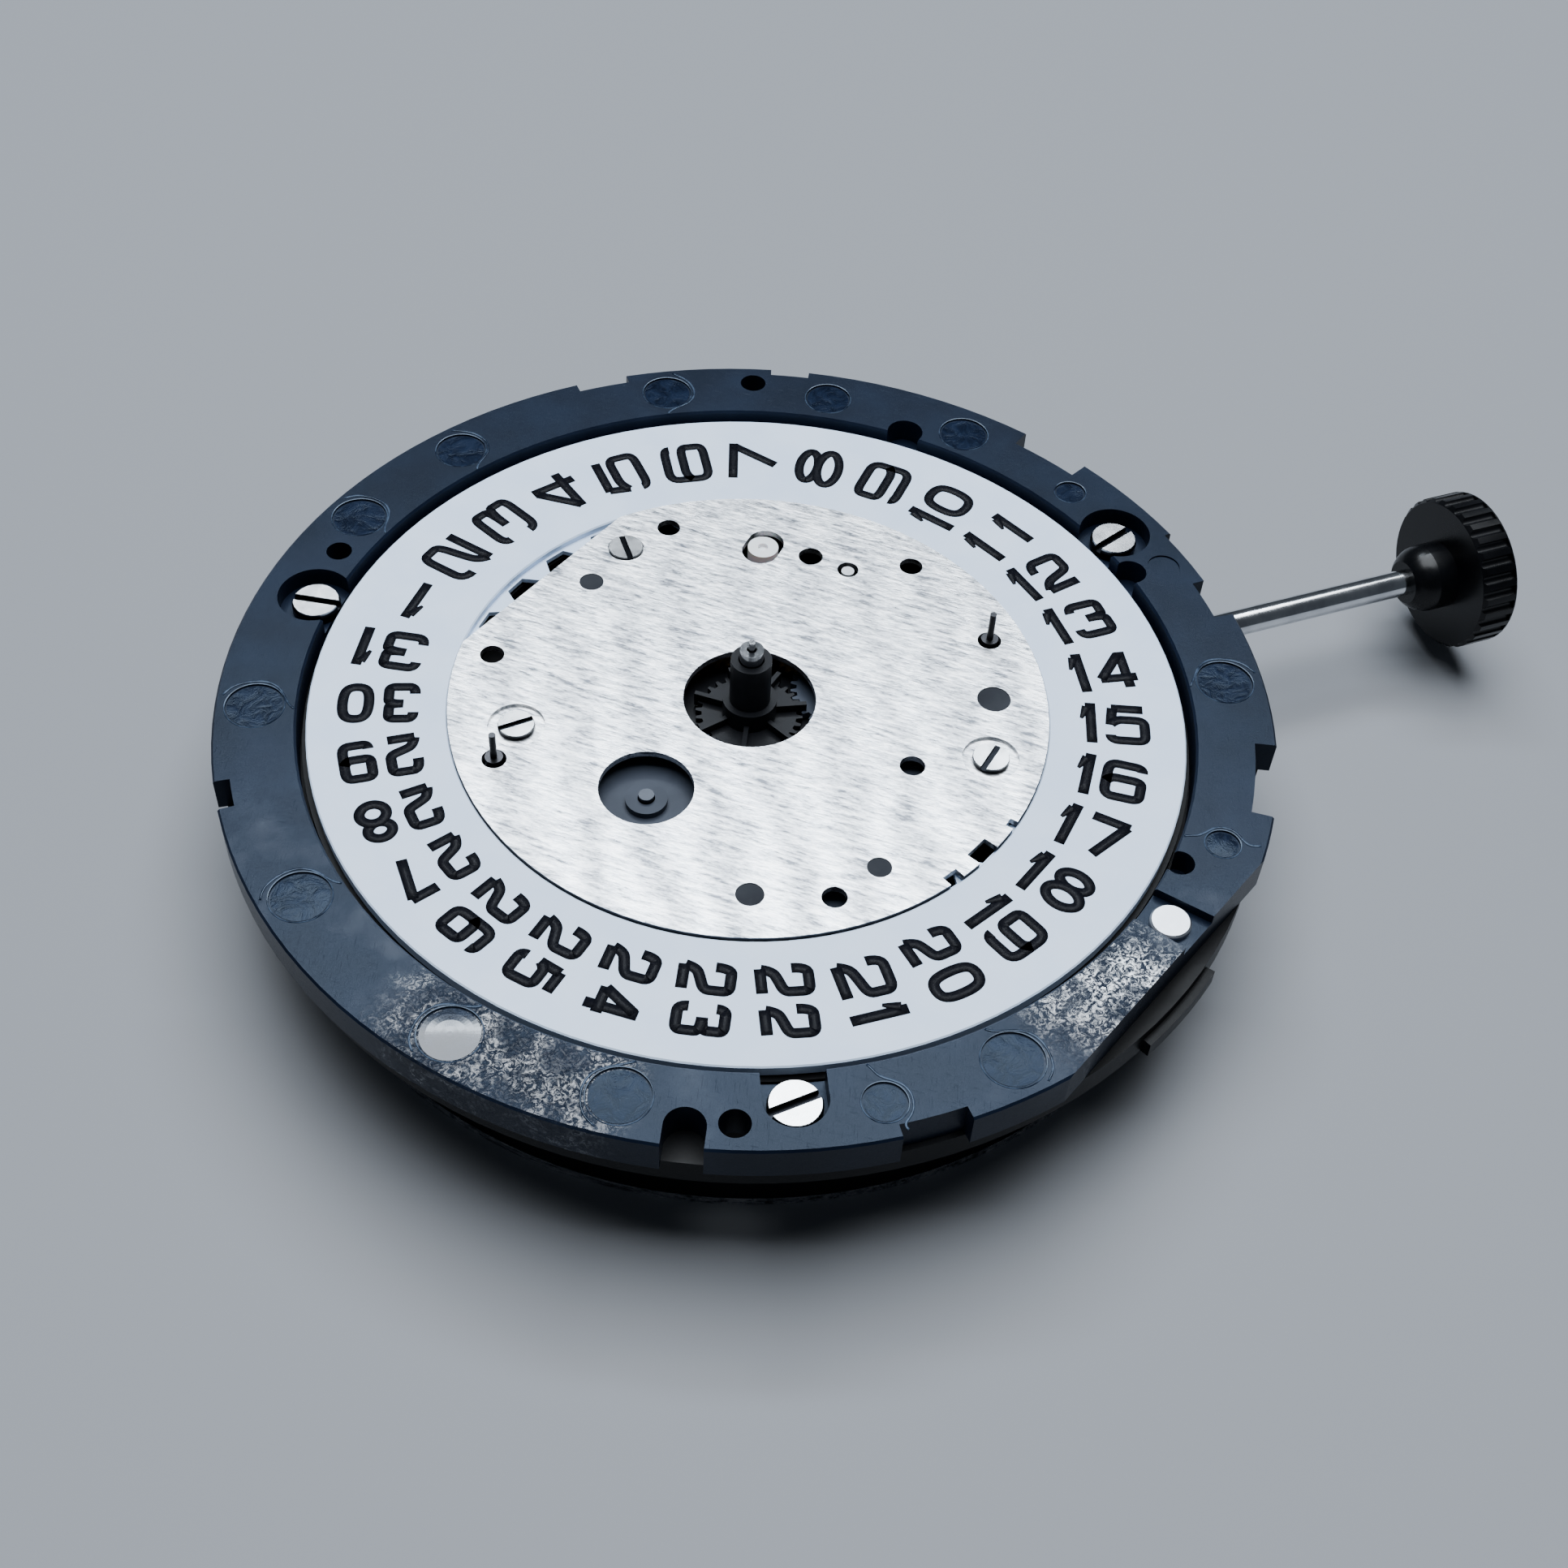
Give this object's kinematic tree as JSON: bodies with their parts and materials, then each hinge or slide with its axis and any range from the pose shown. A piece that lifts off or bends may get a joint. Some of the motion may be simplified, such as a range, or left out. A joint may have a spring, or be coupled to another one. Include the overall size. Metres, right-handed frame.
{
  "type": "watch movement",
  "caption": "Round quartz chronograph watch movement with date ring, centre hand posts, side counter posts, winding stem and crown.",
  "frame": {"origin": "on the hand axis, at the flat back face", "axes": "+Z towards the dial side, +X towards 3 o'clock and the crown, +Y towards 12 o'clock"},
  "size_m": [0.0412, 0.0308, 0.0073],
  "materials": {
    "black_plastic": "satin moulded plastic",
    "ring_plastic": "satin moulded plastic",
    "plated_metal": "fine brushed nickel plate",
    "steel": "polished",
    "dark_plug": "matte",
    "white_plastic": "matte",
    "date_white": "matte printed",
    "brass": "satin",
    "black_wheel": "satin",
    "grey_wheel": "satin",
    "copper_wire": "lacquered wire",
    "soft_iron": "satin",
    "magnet": "ground",
    "board": "lacquered board",
    "chip_resin": "matte",
    "cell_steel": "polished",
    "crown_black": "gloss black"
  },
  "bodies": {
    "root": {"main_plate": "black_plastic", "spacer_ring": "ring_plastic", "ring_screws": "steel", "ring_rivet": "steel", "date_guard": "plated_metal", "guard_screws": "steel", "guard_plugs": "dark_plug", "locating_stud": "white_plastic", "banking_pin": "steel", "wheel_posts": "steel", "date_jumper": "steel", "setting_spring": "steel", "train_bridge": "plated_metal", "bridge_screws": "steel", "time_stator": "soft_iron", "time_coil_core": "soft_iron", "time_coil": "copper_wire", "chrono_stator": "soft_iron", "chrono_coil_core": "soft_iron", "chrono_coil": "copper_wire", "circuit_board": "board", "chip": "chip_resin", "crystal_can": "cell_steel", "battery_cell": "cell_steel", "battery_contact": "brass", "battery_clamp": "steel", "back_cover": "plated_metal", "cover_screws": "steel", "clamp_screws": "steel", "switch_contacts": "brass"},
    "date_ring": {"date_ring": "date_white"},
    "minute_pipe": {"minute_pipe": "steel"},
    "minute_wheel": {"minute_wheel": "brass"},
    "hour_wheel": {"hour_wheel": "black_wheel"},
    "day_idler": {"day_idler": "grey_wheel"},
    "day_wheel": {"day_wheel": "grey_wheel"},
    "date_idler": {"date_idler": "grey_wheel"},
    "date_drive_wheel": {"date_drive_wheel": "grey_wheel"},
    "setting_wheel": {"setting_wheel": "steel"},
    "clutch_wheel": {"clutch_wheel": "steel"},
    "crown": {"winding_stem": "steel", "crown": "crown_black"},
    "setting_lever": {"setting_lever": "steel"},
    "yoke": {"yoke": "steel"},
    "fourth_wheel": {"fourth_wheel": "brass"},
    "fifth_wheel": {"fifth_wheel": "brass"},
    "time_rotor": {"time_rotor": "brass", "time_rotor_magnet": "magnet"},
    "third_wheel": {"third_wheel": "brass"},
    "centre_wheel": {"centre_wheel": "brass"},
    "chrono_seconds_wheel": {"chrono_seconds_wheel": "steel"},
    "chrono_transfer": {"chrono_transfer": "brass"},
    "chrono_rotor": {"chrono_rotor": "brass", "chrono_rotor_magnet": "magnet"},
    "chrono_idler": {"chrono_idler": "brass"},
    "minute_counter_wheel": {"minute_counter_wheel": "grey_wheel"},
    "start_lever": {"start_lever": "steel"},
    "reset_lever": {"reset_lever": "steel"}
  },
  "joints": [
    {"name": "date_ring_turn", "type": "hinge", "parent": "root", "child": "date_ring", "pos_m": [0, 0, 0.0047], "axis": [0, 0, 1], "continuous": true},
    {"name": "minute_pipe_turn", "type": "hinge", "parent": "root", "child": "minute_pipe", "pos_m": [0, 0, 0.004], "axis": [0, 0, 1], "continuous": true},
    {"name": "minute_wheel_turn", "type": "hinge", "parent": "root", "child": "minute_wheel", "pos_m": [0.00141, 0.00265, 0.004], "axis": [0, 0, 1], "continuous": true},
    {"name": "hour_wheel_turn", "type": "hinge", "parent": "root", "child": "hour_wheel", "pos_m": [0, 0, 0.004], "axis": [0, 0, 1], "continuous": true},
    {"name": "day_idler_turn", "type": "hinge", "parent": "root", "child": "day_idler", "pos_m": [0.0031, 0, 0.004], "axis": [0, 0, 1], "continuous": true},
    {"name": "day_wheel_turn", "type": "hinge", "parent": "root", "child": "day_wheel", "pos_m": [0.0077, 0, 0.004], "axis": [0, 0, 1], "continuous": true},
    {"name": "date_idler_turn", "type": "hinge", "parent": "root", "child": "date_idler", "pos_m": [-0.00394, -0.00237, 0.004], "axis": [0, 0, 1], "continuous": true},
    {"name": "date_drive_turn", "type": "hinge", "parent": "root", "child": "date_drive_wheel", "pos_m": [0.00146, -0.0052, 0.004], "axis": [0, 0, 1], "continuous": true},
    {"name": "setting_wheel_turn", "type": "hinge", "parent": "root", "child": "setting_wheel", "pos_m": [0.0043, 0.0009, 0.004], "axis": [0, 0, 1], "continuous": true},
    {"name": "crown_turn", "type": "hinge", "parent": "root", "child": "clutch_wheel", "pos_m": [0.006, 0, 0.00305], "axis": [1, 0, 0], "continuous": true},
    {"name": "crown_pull", "type": "slide", "parent": "clutch_wheel", "child": "crown", "axis": [1, 0, 0], "range_m": [0, 0.0009]},
    {"name": "setting_lever_swing", "type": "hinge", "parent": "root", "child": "setting_lever", "pos_m": [0.01035, 0.0024, 0.0037], "axis": [0, 0, 1], "range_deg": [0, 21.3]},
    {"name": "yoke_swing", "type": "hinge", "parent": "root", "child": "yoke", "pos_m": [0.0076, -0.0027, 0.0037], "axis": [0, 0, 1], "range_deg": [0, 4.8]},
    {"name": "fourth_wheel_turn", "type": "hinge", "parent": "root", "child": "fourth_wheel", "pos_m": [-0.00291, 0.00516, 0.002], "axis": [0, 0, 1], "continuous": true},
    {"name": "fifth_wheel_turn", "type": "hinge", "parent": "root", "child": "fifth_wheel", "pos_m": [-0.00571, 0.00678, 0.002], "axis": [0, 0, 1], "continuous": true},
    {"name": "time_rotor_turn", "type": "hinge", "parent": "root", "child": "time_rotor", "pos_m": [-0.00393, 0.00856, 0.002], "axis": [0, 0, 1], "continuous": true},
    {"name": "third_wheel_turn", "type": "hinge", "parent": "root", "child": "third_wheel", "pos_m": [-0.00056, 0.00319, 0.002], "axis": [0, 0, 1], "continuous": true},
    {"name": "centre_wheel_turn", "type": "hinge", "parent": "root", "child": "centre_wheel", "pos_m": [0, 0, 0.002], "axis": [0, 0, 1], "continuous": true},
    {"name": "chrono_seconds_turn", "type": "hinge", "parent": "root", "child": "chrono_seconds_wheel", "pos_m": [0, 0, 0.002], "axis": [0, 0, 1], "continuous": true},
    {"name": "chrono_transfer_turn", "type": "hinge", "parent": "root", "child": "chrono_transfer", "pos_m": [0.00265, 0.00186, 0.002], "axis": [0, 0, 1], "continuous": true},
    {"name": "chrono_rotor_turn", "type": "hinge", "parent": "root", "child": "chrono_rotor", "pos_m": [0.0041, 0.00392, 0.002], "axis": [0, 0, 1], "continuous": true},
    {"name": "chrono_idler_turn", "type": "hinge", "parent": "root", "child": "chrono_idler", "pos_m": [-0.00374, 0.00074, 0.002], "axis": [0, 0, 1], "continuous": true},
    {"name": "minute_counter_turn", "type": "hinge", "parent": "root", "child": "minute_counter_wheel", "pos_m": [-0.0077, 0, 0.002], "axis": [0, 0, 1], "continuous": true},
    {"name": "start_lever_press", "type": "hinge", "parent": "root", "child": "start_lever", "pos_m": [0.00765, 0.00912, 0.0026], "axis": [0, 0, -1], "range_deg": [0, 5], "stiffness_Nm_per_rad": 0.002},
    {"name": "reset_lever_press", "type": "hinge", "parent": "root", "child": "reset_lever", "pos_m": [0.00765, -0.00912, 0.0026], "axis": [0, 0, 1], "range_deg": [0, 5], "stiffness_Nm_per_rad": 0.002}
  ],
  "couplings": [
    {"joint": "minute_wheel_turn", "follows": "minute_pipe_turn", "ratio": -0.33333},
    {"joint": "hour_wheel_turn", "follows": "minute_pipe_turn", "ratio": 0.083333},
    {"joint": "setting_wheel_turn", "follows": "minute_pipe_turn", "ratio": 0.66667},
    {"joint": "day_idler_turn", "follows": "minute_pipe_turn", "ratio": -0.078125},
    {"joint": "day_wheel_turn", "follows": "minute_pipe_turn", "ratio": 0.041667},
    {"joint": "date_idler_turn", "follows": "minute_pipe_turn", "ratio": -0.040323},
    {"joint": "date_drive_turn", "follows": "minute_pipe_turn", "ratio": 0.041667},
    {"joint": "setting_lever_swing", "follows": "crown_pull", "rad_per_m": 411.88},
    {"joint": "yoke_swing", "follows": "crown_pull", "rad_per_m": 91.778},
    {"joint": "fifth_wheel_turn", "follows": "fourth_wheel_turn", "ratio": -5},
    {"joint": "time_rotor_turn", "follows": "fourth_wheel_turn", "ratio": 30},
    {"joint": "third_wheel_turn", "follows": "fourth_wheel_turn", "ratio": -0.13333},
    {"joint": "centre_wheel_turn", "follows": "fourth_wheel_turn", "ratio": 0.016667},
    {"joint": "chrono_transfer_turn", "follows": "chrono_seconds_turn", "ratio": -5},
    {"joint": "chrono_rotor_turn", "follows": "chrono_seconds_turn", "ratio": 30},
    {"joint": "chrono_idler_turn", "follows": "chrono_seconds_turn", "ratio": -0.13333},
    {"joint": "minute_counter_turn", "follows": "chrono_seconds_turn", "ratio": 0.016667}
  ]
}
